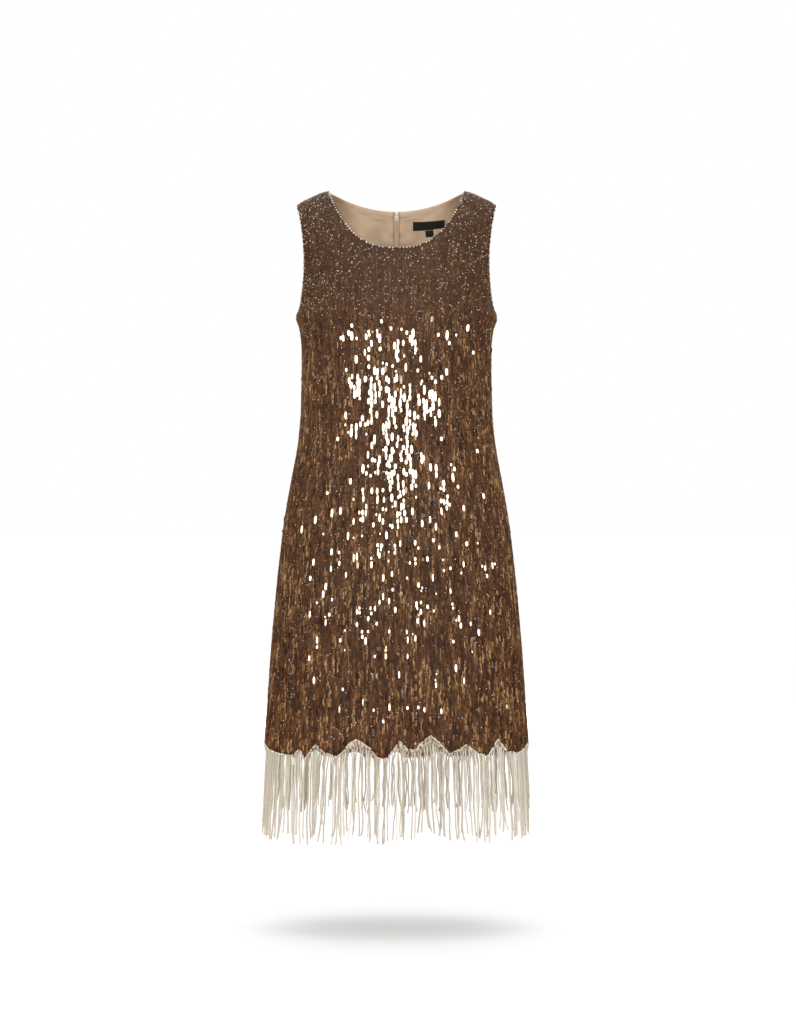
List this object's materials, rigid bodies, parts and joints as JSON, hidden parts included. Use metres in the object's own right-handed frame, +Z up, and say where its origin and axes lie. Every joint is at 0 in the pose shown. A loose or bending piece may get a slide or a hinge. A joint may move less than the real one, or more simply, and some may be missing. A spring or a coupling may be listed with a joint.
{
  "type": "fringe dress",
  "caption": "Sleeveless knee-length shift dress with a round neck, centre back zip, sequinned cloth, scalloped hem and a long beaded fringe, in its worn shape.",
  "frame": {"origin": "midway between the undersides of the two shoulder straps at their neck ends, where the wearer's shoulders carry the dress", "axes": "+Z up along the dress, +X to the right of a viewer facing the front, -Y out of the front"},
  "size_m": [0.416, 0.2512, 1.0015],
  "materials": {
    "sequinned_cloth": "dark brown cloth covered in small glossy sequins",
    "lining_cloth": "beige lining with a soft satin sheen",
    "zip_tape": "beige woven tape",
    "zip_metal": "pale champagne enamelled metal",
    "black_label": "black satin weave, left bare",
    "champagne_fringe": "champagne beaded strands with a silky sheen"
  },
  "bodies": {
    "dress": {"front_panel": "sequinned_cloth", "back_panel_left": "sequinned_cloth", "back_panel_right": "sequinned_cloth", "back_lining_left": "lining_cloth", "back_lining_right": "lining_cloth", "zip_tape_left": "zip_tape", "zip_tape_right": "zip_tape", "zip_slider": "zip_metal", "neck_label": "black_label", "size_tab": "black_label", "front_fringe": "champagne_fringe", "back_fringe_left": "champagne_fringe", "back_fringe_right": "champagne_fringe"},
    "pull_tab": {"zip_pull": "zip_metal"}
  },
  "joints": [
    {"name": "pull_tab_swing", "type": "hinge", "parent": "dress", "child": "pull_tab", "pos_m": [0, 0.0709, -0.03135], "axis": [1, 0, 0], "range_deg": [0, 150]}
  ]
}
